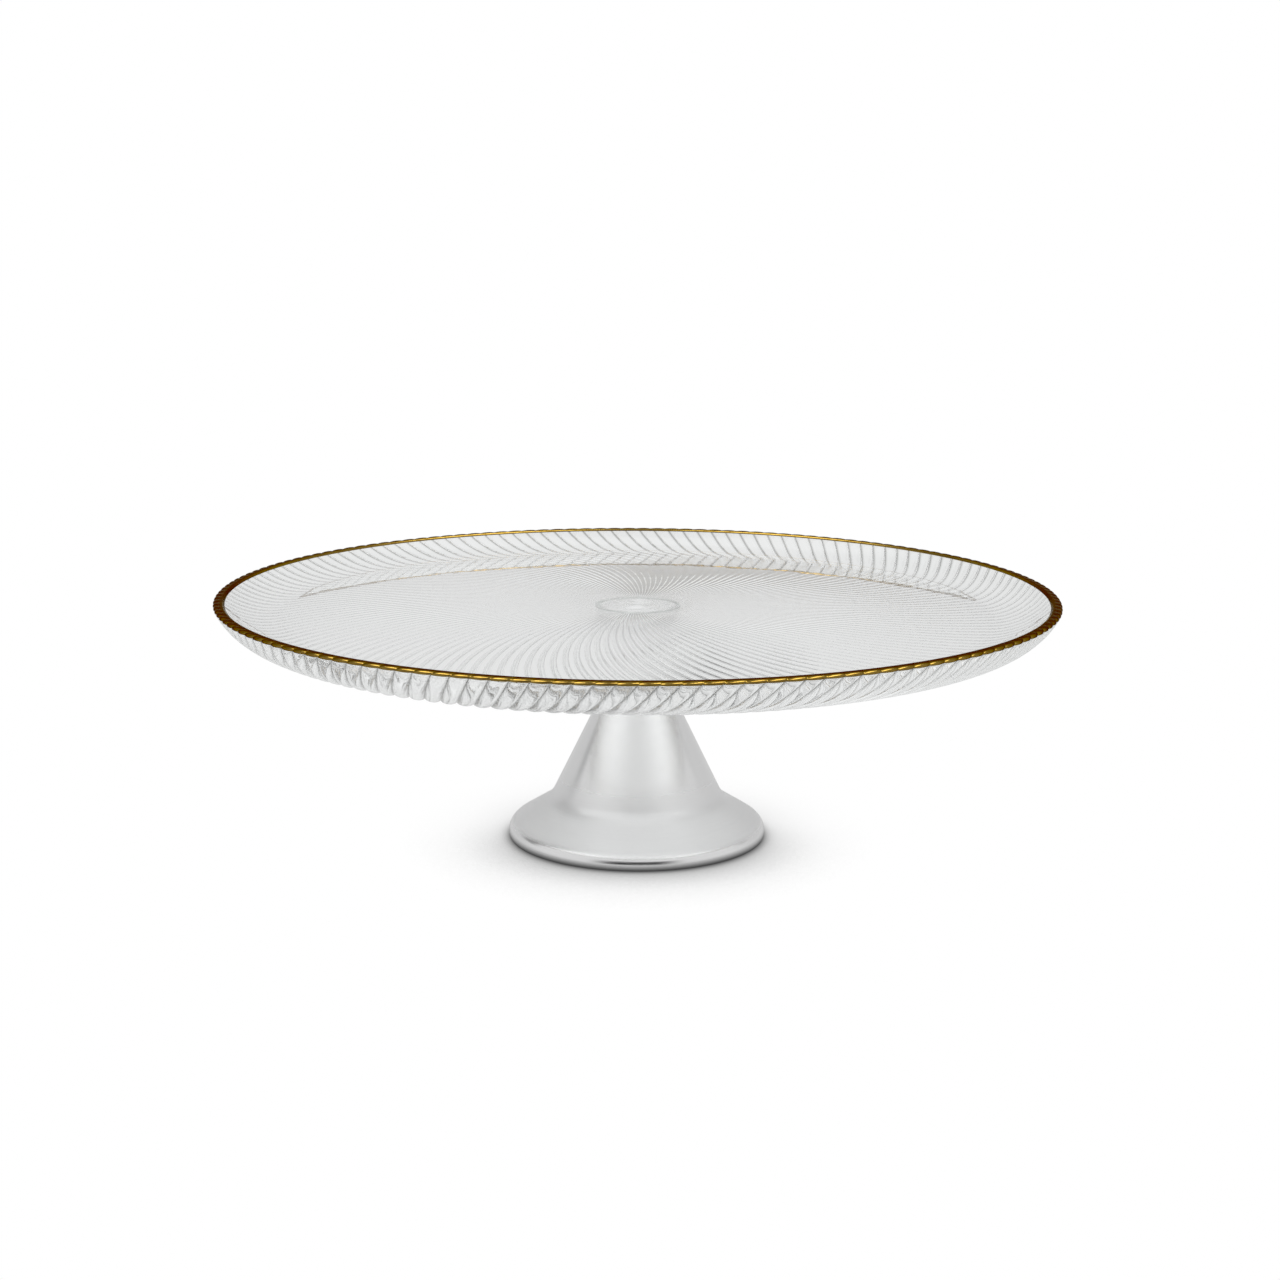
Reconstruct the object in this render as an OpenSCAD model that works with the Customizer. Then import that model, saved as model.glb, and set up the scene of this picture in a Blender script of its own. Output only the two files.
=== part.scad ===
// Footed cake stand: a pressed-glass serving plate with a gilded rim,
// bonded to a metal mounting cup whose captive screw is drawn down by a
// nut inside a hollow spun-metal trumpet foot.
// Millimetres, +Z up, origin at the centre of the foot's resting face.

/* [Overall] */
// Height of the rim's top above the table
stand_h = 100; // [90:1:125]
// Outer radius of the plate, gilding included
plate_r = 165; // [135:1:200]

/* [Glass plate] */
// Depth of the level middle of the floor below the rim
floor_depth = 5.3; // [3:0.1:8]
// Thickness of the glass at the level middle
floor_t = 5; // [3:0.1:8]
// Radius of the level middle, beyond which the floor falls away gently
level_r = 80; // [60:1:90]
// Fall of the floor beyond the level middle, in degrees
floor_fall = 2.7; // [1:0.1:3.5]
// Radius of the cove between the floor and the inner wall
cove_r = 31; // [25:1:36]
// Radius of the outer wall's curve
wall_r = 26; // [24:0.5:32]
// Height of the outer wall curve's centre above the rim
wall_rise = 10.5; // [8:0.5:12]
// Rounding of the glass rim's outer edge, under the gilding
rim_round_out = 0.8; // [0.5:0.05:1.3]
// Rounding of the glass rim's inner edge, under the gilding
rim_round_in = 0.5; // [0.3:0.05:0.8]
// Width of the flat land on top of the rim
rim_land = 2; // [1:0.1:3]
// Thickness of the gilding, far more than real fired-on gold so that it is a sound solid
gold_t = 0.4; // [0.3:0.05:0.6]

/* [Mounting cup] */
// Outer radius of the cup that carries the glass
cup_r = 17; // [15:0.5:25]
// Wall and floor thickness of the cup
cup_t = 1.2; // [0.8:0.1:2]
// Height of the cup
cup_h = 4.2; // [3.5:0.1:8]
// Rounding of the cup's lower edge
cup_round = 1; // [0.5:0.1:1.1]
// Thickness of the adhesive ring between cup and glass
bond_t = 0.7; // [0.3:0.1:1.5]
// Width of the adhesive ring
bond_w = 2; // [1.2:0.1:4]

/* [Fastening] */
// Radius of the screw's shank
screw_r = 3; // [2:0.5:4]
// Radius of the screw's low head
head_r = 7.2; // [5:0.1:9]
// Thickness of the screw's low head
head_t = 1.3; // [1:0.1:1.8]
// Length of the shank that shows below the nut
screw_tail = 3; // [1:0.5:6]
// Radial clearance of the holes round the shank
hole_clearance = 0.25; // [0.1:0.05:0.5]
// Outer radius of the wide flat washer
washer_r = 8; // [6:0.5:9]
// Thickness of the wide flat washer
washer_t = 1.6; // [1:0.1:2]
// Outer radius of the spring washer
spring_r = 5.5; // [4.5:0.1:6]
// Thickness of the spring washer
spring_t = 1.6; // [1:0.1:2]
// Width of the gap cut in the spring washer
spring_gap = 1; // [0.5:0.1:2]
// Width of the nut across its flats
nut_flats = 10; // [8:0.5:12]
// Height of the nut
nut_h = 5; // [4:0.5:6]

/* [Foot] */
// Largest radius of the foot, at its rounded edge
foot_r = 51.7; // [44:0.1:70]
// Thickness of the spun metal
foot_wall = 1.5; // [1:0.1:2]
// Thickness of the foot's closed top
foot_top_t = 2; // [1.5:0.1:3]
// Rounding of the foot's edge
foot_edge_r = 5.5; // [4:0.1:7]
// Height of the foot's widest ring above the table
foot_edge_z = 1.8; // [1:0.1:2]
// Slope of the skirt, in degrees from level
skirt_angle = 32; // [25:1:38]
// Radius at which the cone meets the skirt
corner_r = 34.9; // [28:0.1:36]
// Radius of the fillet between cone and skirt
flare_r = 12; // [8:1:16]
// Radius of the waist
waist_r = 10.6; // [10:0.1:13]
// Radius of the waist's curve
waist_curve = 25; // [22:1:30]
// Distance of the waist below the foot's top
waist_drop = 13.8; // [12:0.1:16]

/* [Hidden] */
$fn = 96;

glass_top = stand_h - gold_t;
glass_r = plate_r - gold_t;
floor_z = stand_h - floor_depth;
under_z = floor_z - floor_t;
cup_top = under_z - bond_t;
cup_base = cup_top - cup_h;
head_base = cup_base + cup_t;
foot_top = cup_base;
foot_ceiling = foot_top - foot_top_t;
spring_top = foot_ceiling - washer_t;
nut_top = spring_top - spring_t;
nut_base = nut_top - nut_h;
hole_r = screw_r + hole_clearance;

// Centres of the rim's two roundings, and the flats each is cut as
rim_flats = 4;
rim_out = [glass_r - rim_round_out, glass_top - rim_round_out];
rim_in = [rim_out[0] - rim_land, glass_top - rim_round_in];

// Outer wall: a curve that the rim's outer rounding touches from inside
wall_cz = glass_top + wall_rise;
wall_c = [rim_out[0] - sqrt(pow(wall_r - rim_round_out, 2) - pow(wall_cz - rim_out[1], 2)), wall_cz];

// Floor beyond the level middle, and the cove that touches it and the rim's
// inner rounding: its centre slides along a line cove_r above the floor
floor_start = [level_r, floor_z];
floor_dir = [cos(floor_fall), -sin(floor_fall)];
floor_up = [sin(floor_fall), cos(floor_fall)];
cove_start = floor_start + cove_r * floor_up - rim_in;
cove_along = cove_start * floor_dir;
cove_reach = cove_start * cove_start - pow(cove_r + rim_round_in, 2);
cove_run = -cove_along - sqrt(pow(cove_along, 2) - cove_reach);
floor_end = floor_start + cove_run * floor_dir;
cove_c = floor_end + cove_r * floor_up;

// Foot: edge rounding, skirt, fillet, cone and waist
edge_c = [foot_r - foot_edge_r, foot_edge_z];
skirt_out = [sin(skirt_angle), cos(skirt_angle)];
skirt_top = edge_c + foot_edge_r * skirt_out;
corner = [corner_r, skirt_top[1] + (skirt_top[0] - corner_r) * tan(skirt_angle)];
waist_c = [waist_r + waist_curve, foot_top - waist_drop];
cone_foot = tangent(corner, waist_c, waist_curve, 1);
cone_out = unit(waist_c - cone_foot);
flare_c = corner + flare_r * (cone_out + skirt_out) / (1 + cone_out * skirt_out);

function unit(v) = v / norm(v);

// Point where a line from p touches the circle of radius r about c;
// side 1 is the touch on the left of the way from p to c, -1 on the right
function tangent(p, c, r, side) =
    let (way = c - p, reach = norm(way), run = sqrt(reach * reach - r * r),
         ahead = bearing(way) + side * asin(r / reach))
    p + run * [cos(ahead), sin(ahead)];

// Angle that v makes with the X axis
function bearing(v) = atan2(v[1], v[0]);

// Points of a rounding from angle a to angle b, cut as a few equal flats
function rounding(centre, radius, a, b) =
    [for (i = [0:rim_flats]) let (t = a + (b - a) * i / rim_flats)
        centre + radius * [cos(t), sin(t)]];

module disc(centre, radius) translate(centre) circle(r = radius);

// The part of a disc that lies beyond the chord from a to b
module bulge(centre, radius, a, b) {
    out = unit((a + b) / 2 - centre) * radius;
    intersection() {
        disc(centre, radius);
        polygon([a, b, b + out, a + out]);
    }
}

// A flat ring from inner to outer radius, standing on base
module ring(outer, inner, base, height) {
    translate([0, 0, base]) difference() {
        cylinder(r = outer, h = height);
        translate([0, 0, -1]) cylinder(r = inner, h = height + 2);
    }
}

// Section of the plate: level middle, falling floor, cove, rounded rim,
// curved outer wall and an underside that runs on smoothly from it
module plate_section() {
    wall_foot = tangent([level_r, under_z], wall_c, wall_r, -1);
    rim_edge = rounding(rim_out, rim_round_out, bearing(rim_out - wall_c), 90);
    rim_lip = rounding(rim_in, rim_round_in, 90, bearing(cove_c - rim_in));
    union() {
        difference() {
            polygon(concat([[0, under_z], [level_r, under_z], wall_foot], rim_edge, rim_lip,
                           [floor_end, floor_start, [0, floor_z]]));
            disc(cove_c, cove_r);
        }
        bulge(wall_c, wall_r, wall_foot, rim_edge[0]);
    }
}

module glass_plate() {
    color([0.86, 0.88, 0.88, 0.6])
        rotate_extrude() plate_section();
}

// Gold band: the rim's two roundings and its land, thickened outwards and
// laid on the plate's own section, open level with each rounding's centre
module gold_rim() {
    color([0.83, 0.62, 0.22])
        rotate_extrude() difference() {
            polygon(concat(rounding(rim_out, rim_round_out + gold_t, 0, 90),
                           rounding(rim_in, rim_round_in + gold_t, 90, 180), [rim_in, rim_out]));
            plate_section();
        }
}

module bond_ring() {
    color([0.92, 0.93, 0.93, 0.7])
        ring(cup_r, cup_r - bond_w, cup_top, bond_t);
}

// Shallow dish with a rounded lower edge; its rim takes the adhesive
module mounting_cup() {
    module dish(radius, base, rounding) {
        translate([0, base]) square([radius - rounding, cup_h]);
        translate([0, base + rounding]) square([radius, cup_h]);
        disc([radius - rounding, base + rounding], rounding);
    }
    color([0.74, 0.74, 0.75])
        rotate_extrude() difference() {
            intersection() {
                dish(cup_r, cup_base, cup_round);
                translate([hole_r, cup_base]) square([cup_r, cup_h]);
            }
            dish(cup_r - cup_t, head_base, cup_round);
        }
}

// Low-headed screw, its tail a little past the nut
module captive_screw() {
    tail_z = nut_base - screw_tail;
    lead = screw_r / 5;
    color([0.80, 0.80, 0.82])
        rotate_extrude() polygon([
            [0, tail_z], [screw_r - lead, tail_z], [screw_r, tail_z + lead],
            [screw_r, head_base], [head_r, head_base],
            [head_r, head_base + head_t / 2], [head_r - head_t / 2, head_base + head_t],
            [0, head_base + head_t]]);
}

// Solid outline of the foot with its skin moved inwards by inset
module foot_outline(inset, top) {
    edge = foot_edge_r - inset;
    edge_top = edge_c + edge * skirt_out;
    edge_base = edge_c + [sqrt(edge * edge - foot_edge_z * foot_edge_z), -foot_edge_z];
    flare = flare_r + inset;
    waist = waist_curve + inset;
    neck_top = [waist_c[0] - sqrt(waist * waist - pow(top - waist_c[1], 2)), top];
    union() {
        difference() {
            polygon([[0, 0], edge_base, edge_top, flare_c - flare * skirt_out,
                     flare_c - flare * cone_out, waist_c - waist * cone_out, neck_top, [0, top]]);
            disc(flare_c, flare);
            disc(waist_c, waist);
        }
        bulge(edge_c, edge, edge_base, edge_top);
    }
}

// Spun trumpet: closed on top but for the screw's hole, open below
module foot_shell() {
    color([0.76, 0.76, 0.77])
        difference() {
            rotate_extrude() difference() {
                foot_outline(0, foot_top);
                foot_outline(foot_wall, foot_ceiling);
            }
            translate([0, 0, foot_ceiling - 1])
                cylinder(r = hole_r, h = foot_top_t + 2);
        }
}

module wide_washer() {
    color([0.70, 0.70, 0.72])
        ring(washer_r, hole_r, spring_top, washer_t);
}

module spring_washer() {
    color([0.45, 0.45, 0.48])
        difference() {
            ring(spring_r, hole_r, nut_top, spring_t);
            translate([0, -spring_gap / 2, nut_top - 1])
                cube([spring_r + 1, spring_gap, spring_t + 2]);
        }
}

module hex_nut() {
    color([0.66, 0.66, 0.68])
        difference() {
            translate([0, 0, nut_base])
                cylinder(r = nut_flats / sqrt(3), h = nut_h, $fn = 6);
            translate([0, 0, nut_base - 1])
                cylinder(r = screw_r, h = nut_h + 2);
        }
}

glass_plate();
gold_rim();
bond_ring();
mounting_cup();
captive_screw();
foot_shell();
wide_washer();
spring_washer();
hex_nut();
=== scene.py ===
"""Footed glass cake stand: a pressed plate with swirling ribs and a gilded
scalloped rim, on a spun satin-metal trumpet foot, with the cup, adhesive,
screw, washers and nut that hold the two together. Metres, +Z up."""

import math

import bpy
import numpy as np
from bpy.props import FloatProperty, FloatVectorProperty, IntProperty, PointerProperty
from mathutils import Matrix, Vector


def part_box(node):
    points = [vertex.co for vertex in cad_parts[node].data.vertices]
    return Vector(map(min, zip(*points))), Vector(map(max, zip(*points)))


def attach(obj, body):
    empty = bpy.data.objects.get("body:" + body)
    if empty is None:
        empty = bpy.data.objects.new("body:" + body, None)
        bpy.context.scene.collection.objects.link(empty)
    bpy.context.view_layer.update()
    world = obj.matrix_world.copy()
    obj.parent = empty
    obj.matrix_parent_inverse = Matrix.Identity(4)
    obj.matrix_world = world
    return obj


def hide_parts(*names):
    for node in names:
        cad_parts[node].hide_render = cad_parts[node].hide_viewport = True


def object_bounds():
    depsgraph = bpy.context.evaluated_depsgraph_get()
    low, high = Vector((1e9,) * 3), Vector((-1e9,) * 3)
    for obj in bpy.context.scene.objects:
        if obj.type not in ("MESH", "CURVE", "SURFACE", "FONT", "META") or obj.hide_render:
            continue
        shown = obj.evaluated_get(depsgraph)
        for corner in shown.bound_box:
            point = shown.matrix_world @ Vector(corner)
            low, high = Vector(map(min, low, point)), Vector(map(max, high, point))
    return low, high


bl_info = {
    "name": "Glass Cake Stand",
    "version": (1, 0, 0),
    "blender": (4, 5, 0),
    "location": "3D View > Sidebar > Cake Stand",
    "description": "Builds a footed cake stand of ribbed glass, gilding and spun metal",
    "category": "Object",
}

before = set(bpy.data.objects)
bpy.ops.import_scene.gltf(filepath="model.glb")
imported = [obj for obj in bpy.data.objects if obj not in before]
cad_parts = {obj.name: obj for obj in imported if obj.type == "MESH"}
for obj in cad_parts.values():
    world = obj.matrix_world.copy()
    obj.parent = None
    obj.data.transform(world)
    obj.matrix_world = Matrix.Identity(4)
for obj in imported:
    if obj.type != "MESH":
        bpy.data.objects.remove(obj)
cad_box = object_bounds()

MM = 0.001
WHITE = (1, 1, 1, 1)
GOLD_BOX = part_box("gold_rim")
BOND_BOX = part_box("bond_ring")
CUP_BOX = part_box("mounting_cup")
SCREW_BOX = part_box("captive_screw")
FOOT_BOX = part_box("foot_shell")
WASHER_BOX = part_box("wide_washer")
SPRING_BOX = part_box("spring_washer")
NUT_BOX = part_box("hex_nut")


# ---------------------------------------------------------------- settings

def length(title, text, default, low=0.0, high=1.0):
    """A size in metres, for the sidebar."""
    return FloatProperty(name=title, description=text, default=default, min=low, max=high,
                         unit="LENGTH", precision=5)


def angle(title, text, degrees):
    """An angle, for the sidebar."""
    return FloatProperty(name=title, description=text, default=math.radians(degrees),
                         unit="ROTATION")


def share(title, text, default):
    """A plain number from 0 to 1."""
    return FloatProperty(name=title, description=text, default=default, min=0.0, max=1.0)


def colour(title, text, default):
    """A linear colour."""
    return FloatVectorProperty(name=title, description=text, default=default, size=3,
                               subtype="COLOR", min=0.0, max=1.0)


class PlateSizes(bpy.types.PropertyGroup):
    """Section of the glass plate and the pattern pressed into it."""
    floor_depth: length("Floor depth", "Rim's top to the level middle", 5.3 * MM)
    floor_t: length("Glass thickness", "Thickness at the level middle", 5.0 * MM)
    level_r: length("Level radius", "Where the floor starts to fall", 80 * MM)
    level_blend: length("Level blend", "Softness of that start", 7 * MM)
    floor_fall: angle("Floor fall", "Slope of the outer floor", 2.7)
    cove_r: length("Cove radius", "Curve from floor to inner wall", 31 * MM)
    wall_r: length("Wall radius", "Curve of the outer wall", 26 * MM)
    wall_rise: length("Wall rise", "Curve's centre above the rim", 10.5 * MM)
    round_out: length("Outer rounding", "Rim's outer edge", 1.05 * MM)
    round_in: length("Inner rounding", "Rim's inner edge", 0.75 * MM)
    rim_land: length("Rim land", "Flat top of the rim", 2.0 * MM)
    pad_r: length("Pad radius", "Plain middle where the cup is bonded", 18 * MM)
    ribs: IntProperty(name="Ribs", description="Ribs round the plate", default=150, min=12)
    rib_depth: length("Rib depth", "Valley below crest at the heel", 0.95 * MM)
    rim_depth: length("Scallop depth", "Valley below crest at the rim", 0.75 * MM)
    swirl_middle: FloatProperty(name="Swirl at the middle", default=1.745,
                                description="Turn of a rib per metre near the middle, in radians")
    swirl_growth: FloatProperty(name="Swirl growth", default=122.0,
                                description="How fast that turn grows with the radius squared")
    swirl_most: angle("Steepest swirl", "Most that a rib leans from the radius", 30)


class RimSizes(bpy.types.PropertyGroup):
    """The fired-on gold band."""
    film: length("Film", "Thickness of the gold at its middle", 0.15 * MM)


class FootSizes(bpy.types.PropertyGroup):
    """Section of the spun foot."""
    wall: length("Wall", "Thickness of the spun metal", 1.5 * MM)
    top_t: length("Top", "Thickness of the closed top", 2.0 * MM)
    edge_r: length("Edge rounding", "Rounding of the foot's edge", 5.5 * MM)
    edge_z: length("Edge height", "Height of the widest ring", 1.8 * MM)
    skirt: angle("Skirt slope", "Slope of the skirt from level", 32)
    corner_r: length("Corner radius", "Where cone meets skirt", 34.9 * MM)
    flare_r: length("Flare fillet", "Fillet between cone and skirt", 12 * MM)
    waist_r: length("Waist radius", "Narrowest radius", 10.6 * MM)
    waist_curve: length("Waist curve", "Radius of the waist's curve", 25 * MM)
    waist_drop: length("Waist drop", "Waist below the foot's top", 13.8 * MM)
    hole_r: length("Hole radius", "Hole for the screw", 3.25 * MM)


class FixingSizes(bpy.types.PropertyGroup):
    """Cup, adhesive, screw, washers and nut."""
    cup_t: length("Cup wall", "Wall and floor of the cup", 1.2 * MM)
    bond_w: length("Bond width", "Width of the adhesive ring", 2.0 * MM)
    screw_r: length("Screw radius", "Crest of the thread", 3.0 * MM)
    thread_pitch: length("Thread pitch", "Distance between threads", 1.0 * MM)
    thread_depth: length("Thread depth", "Crest to root", 0.58 * MM)
    head_t: length("Head thickness", "Low head of the screw", 1.3 * MM)
    hole_r: length("Hole radius", "Holes round the shank", 3.25 * MM)
    nut_flats: length("Nut flats", "Nut across its flats", 10 * MM)
    spring_gap: length("Spring gap", "Cut in the spring washer", 1.0 * MM)


class Finishes(bpy.types.PropertyGroup):
    """Colours and gloss of the materials."""
    glass: colour("Glass", "Clear soda glass", (0.985, 0.992, 0.990))
    # Painted shade: darkness and colour of the lines painted into the glass along the rib valleys
    valley: share("Valley", "Darkness of the lines where two ribs meet", 0.95)
    painted_valley_shade: colour("Valley glass", "Glass along those lines", (0.03, 0.03, 0.02))
    gold: colour("Gold", "Fired gold at its fullest", (0.26, 0.17, 0.035))
    gold_thin: colour("Thin gold", "Gold where the film is thin", (0.21, 0.13, 0.025))
    gold_glance: colour("Gold, grazing", "Its tint along the view", (0.26, 0.18, 0.04))
    bright: colour("Bright metal", "Mounting cup", (0.98, 0.98, 0.98))
    # Painted light: emission given to the cup and the screw's head, though neither is a lamp
    painted_glow: share("Glow", "Light the ribbed glass scatters into the cup", 0.22)
    satin: colour("Satin metal", "Body of the foot", (0.89, 0.89, 0.89))
    satin_deep: colour("Satin metal, low", "Darker streaks of it", (0.83, 0.83, 0.835))
    plated: colour("Plated steel", "Screw, wide washer and nut", (0.90, 0.90, 0.91))
    spring: colour("Spring steel", "Dark oiled steel", (0.16, 0.16, 0.18))
    bond: colour("Adhesive", "Cured clear adhesive", (0.90, 0.92, 0.91))
    satin_rough: share("Satin roughness", "Roughness of the foot", 0.13)
    skirt_rough: share("Skirt roughness", "How much rougher its skirt is", 0.26)
    gold_rough: share("Gold roughness", "Roughness of the gilding", 0.12)


class StageLook(bpy.types.PropertyGroup):
    """Floor, surroundings and camera."""
    overhead: FloatProperty(name="Overhead", description="Light from above", default=0.42)
    lamps: FloatProperty(name="Lamps", description="Strong lamps high up", default=6.5)
    ahead: FloatProperty(name="Room ahead", description="Room behind the camera", default=0.76)
    behind: FloatProperty(name="Room behind", description="Room behind the stand", default=0.64)
    flags: share("Flags", "Darkness of the flags along both sides", 0.80)
    ground: FloatProperty(name="Ground", description="Floor as metal mirrors it", default=0.66)
    skylight: FloatProperty(name="Skylight", default=0.30,
                            description="More light high up on both sides")
    surround: FloatProperty(name="Surround", default=0.83,
                            description="Light of the studio as seen through the glass")
    shadow_reach: length("Shadow reach", "Reach of the contact shadow", 0.045)
    shadow_depth: FloatProperty(name="Shadow depth", description="Power on the open sky",
                                default=5.5)
    camera_away: length("Camera distance", "From the middle of the rim", 0.7956, 0.1, 5.0)
    camera_rise: angle("Camera rise", "Height of the camera as an angle", 10.28)
    camera_roll: angle("Camera roll", "Lean of the camera", 0.3)
    lens: FloatProperty(name="Lens", description="Focal length in millimetres", default=56.476)
    bounces: IntProperty(name="Bounces", description="Light's bounces in the glass", default=24)
    aim_down: angle("Aim below the rim", "Camera's aim under the rim's middle", 1.447)
    aim_right: angle("Aim to the right", "Camera's aim beside the rim's middle", 0.067)


# ---------------------------------------------------------- shader writing

class Wave:
    """A number that varies over a surface: arithmetic on it adds Math nodes."""

    def __init__(self, graph, socket):
        self.graph, self.socket = graph, socket

    def maths(self, operation, *terms):
        """The result of one Math node on the terms."""
        node = self.graph.add("ShaderNodeMath", {"operation": operation}, dict(enumerate(terms)))
        return Wave(self.graph, node.outputs[0])

    def __add__(self, other):
        return self.maths("ADD", self, other)

    def __sub__(self, other):
        return self.maths("SUBTRACT", self, other)

    def __rsub__(self, other):
        return self.maths("SUBTRACT", other, self)

    def __mul__(self, other):
        return self.maths("MULTIPLY", self, other)

    def __truediv__(self, other):
        return self.maths("DIVIDE", self, other)

    def __pow__(self, other):
        return self.maths("POWER", self, other)

    __radd__ = __add__
    __rmul__ = __mul__

    def size(self):
        """Its distance from 0."""
        return self.maths("ABSOLUTE", self)

    def wave(self):
        """Its sine."""
        return self.maths("SINE", self)

    def turn_from(self, base):
        """Angle of the way (base, self) from the base's axis, in radians."""
        return self.maths("ARCTAN2", self, base)

    def step(self, start, end):
        """0 before start, 1 after end, smooth between."""
        node = self.graph.add("ShaderNodeMapRange", {"interpolation_type": "SMOOTHSTEP"},
                              {"Value": self, "From Min": start, "From Max": end})
        return Wave(self.graph, node.outputs[0])

    def band(self, begin, full, fade, end):
        """1 from full to fade, 0 before begin and after end, smooth between."""
        return self.step(begin, full) * (1 - self.step(fade, end))


class Graph:
    """The node tree of a material or world, emptied and ready to fill."""

    def __init__(self, owner):
        owner.use_nodes = True
        self.tree = owner.node_tree
        self.tree.nodes.clear()

    def add(self, kind, settings=None, inputs=None):
        """One node: its settings first, such as a ramp's stops as pairs of place
        and level, then the values or links of its sockets."""
        node = self.tree.nodes.new(kind)
        settings = dict(settings or {})
        stops = settings.pop("stops", [])
        for name, value in settings.items():
            setattr(node, name, value)
        for i, (place, level) in enumerate(stops):
            ramp = node.color_ramp.elements
            stop = ramp[i] if i < len(ramp) else ramp.new(place)
            stop.position, stop.color = place, (level, level, level, 1.0)
        for name, value in (inputs or {}).items():
            if isinstance(value, Wave):
                value = value.socket
            if isinstance(value, bpy.types.NodeSocket):
                self.tree.links.new(value, node.inputs[name])
            else:
                node.inputs[name].default_value = value
        return node

    def place(self):
        """Object coordinates as a vector and as three numbers."""
        vector = self.add("ShaderNodeTexCoord").outputs["Object"]
        parts = self.add("ShaderNodeSeparateXYZ", inputs={"Vector": vector})
        return vector, *(Wave(self, out) for out in parts.outputs)

    def noise(self, vector, scale, detail=2.0, stretch=(1, 1, 1)):
        """Noise from about 0 to 1 with features of 1 / scale metres."""
        moved = self.add("ShaderNodeMapping", inputs={"Vector": vector, "Scale": stretch})
        node = self.add("ShaderNodeTexNoise", inputs={
            "Vector": moved.outputs[0], "Scale": scale, "Detail": detail})
        return Wave(self, node.outputs["Fac"])

    def ramp(self, value, stops):
        """A level that runs smoothly through the stops as value goes from 0 to 1."""
        node = self.add("ShaderNodeValToRGB", {"stops": stops}, {"Fac": value})
        node.color_ramp.interpolation = "EASE"
        return Wave(self, node.outputs["Color"])

    def blend(self, factor, first, second):
        """Colour between two colours, each of them three numbers or a socket."""
        first, second = ((*end, 1.0) if isinstance(end, tuple) else end for end in (first, second))
        node = self.add("ShaderNodeMix", {"data_type": "RGBA"},
                        {0: factor, 6: first, 7: second})
        return node.outputs[2]

    def bump(self, height, strength, distance):
        """Normal from a height."""
        node = self.add("ShaderNodeBump", inputs={
            "Height": height, "Strength": strength, "Distance": distance})
        return node.outputs[0]

    def finish(self, inputs):
        """Principled shader on the output."""
        shader = self.add("ShaderNodeBsdfPrincipled", inputs=inputs)
        self.add("ShaderNodeOutputMaterial", inputs={"Surface": shader.outputs[0]})


def material(name, fill):
    """A new material whose nodes the function fill makes."""
    made = bpy.data.materials.new(name)
    fill(Graph(made))
    return made


def clear_glass(graph):
    """Fire-polished pressed glass: clear, with a faint unevenness in its skin, and painted shade:
    dark lines painted into its colour along the ribs' valleys, standing in for the dark that
    refraction makes there.
    """
    looks = bpy.context.scene.stand_finishes
    vector, *_ = graph.place()
    skin = graph.noise(vector, 90, 2.0)
    haze = graph.noise(vector, 260, 3.0)
    valley = Wave(graph, graph.add("ShaderNodeAttribute", {"attribute_name": "valley"})
                  .outputs["Fac"])
    clear = graph.blend(haze, tuple(looks.glass), (0.97, 0.985, 0.98))
    graph.finish({
        # Painted shade: the glass's colour darkens along the rib valleys
        "Base Color": graph.blend(valley * looks.valley, clear, tuple(looks.painted_valley_shade)),
        "Roughness": haze * 0.012,
        "IOR": 1.5,
        "Transmission Weight": 1.0,
        "Normal": graph.bump(skin, 0.10, 0.0006),
    })


def fired_gold(graph):
    """Bright gold film: fuller in the middle, thin and coppery in patches,
    with fine brush marks along the rim."""
    looks = bpy.context.scene.stand_finishes
    vector, x, y, _ = graph.place()
    turn = y.turn_from(x)
    patch = graph.noise(vector, 260, 3.0)
    speck = graph.noise(vector, 2200, 2.0)
    thin = patch.step(0.42, 0.66)
    marks = (turn * 900 + speck * 7).wave()
    graph.finish({
        "Base Color": graph.blend(thin, tuple(looks.gold), tuple(looks.gold_thin)),
        "Metallic": 1.0,
        "Specular Tint": (*looks.gold_glance, 1.0),
        "Roughness": looks.gold_rough + thin * 0.06 + speck * 0.04,
        "Normal": graph.bump(marks * 0.3 + speck, 0.12, 0.00008),
    })


def satin_metal(graph):
    """Spun metal, satin from lathe polishing: hair-fine rings about the axis,
    broken up by noise, with soft wandering tone; duller on the skirt."""
    looks = bpy.context.scene.stand_finishes
    vector, x, y, z = graph.place()
    radius = (x * x + y * y) ** 0.5
    drift = graph.noise(vector, 14, 2.0)
    streak = graph.noise(vector, 40, 4.0, (0.15, 0.15, 30))
    rings = ((radius + z * 1.3) * 9000 + streak * 9 + drift * 20).wave()
    fine = graph.noise(vector, 900, 3.0, (0.25, 0.25, 4))
    brushed = z.band(4.5 * MM, 6.5 * MM, 12 * MM, 31 * MM)
    graph.finish({
        "Base Color": graph.blend(streak * 0.6 + fine * 0.4, tuple(looks.satin),
                                  tuple(looks.satin_deep)),
        "Metallic": 1.0,
        "Roughness": looks.satin_rough + brushed * looks.skirt_rough + drift * 0.05 + fine * 0.06,
        "Normal": graph.bump(rings * 0.4 + fine, 0.10, 0.00005),
    })


def bright_metal(graph):
    """Whitish tin-bright metal of the mounting cup, with faint turning rings, and painted light: a
    faint white emission standing in for the light that the ribbed glass scatters into it.
    """
    looks = bpy.context.scene.stand_finishes
    vector, x, y, _ = graph.place()
    drift = graph.noise(vector, 220, 3.0)
    rings = ((x * x + y * y) ** 0.5 * 9000 + drift * 6).wave()
    graph.finish({
        "Base Color": graph.blend(drift, tuple(looks.bright), (0.90, 0.90, 0.90)),
        "Metallic": 0.1,
        # Painted light: the cup glows a little
        "Emission Color": WHITE,
        "Emission Strength": looks.painted_glow,
        "Roughness": 0.25 + drift * 0.1,
        "Normal": graph.bump(rings, 0.08, 0.00004),
    })


# Painted light on the screw's head, as a multiple of the cup's painted glow
HEAD_PAINTED_GLOW = 1.9


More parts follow.
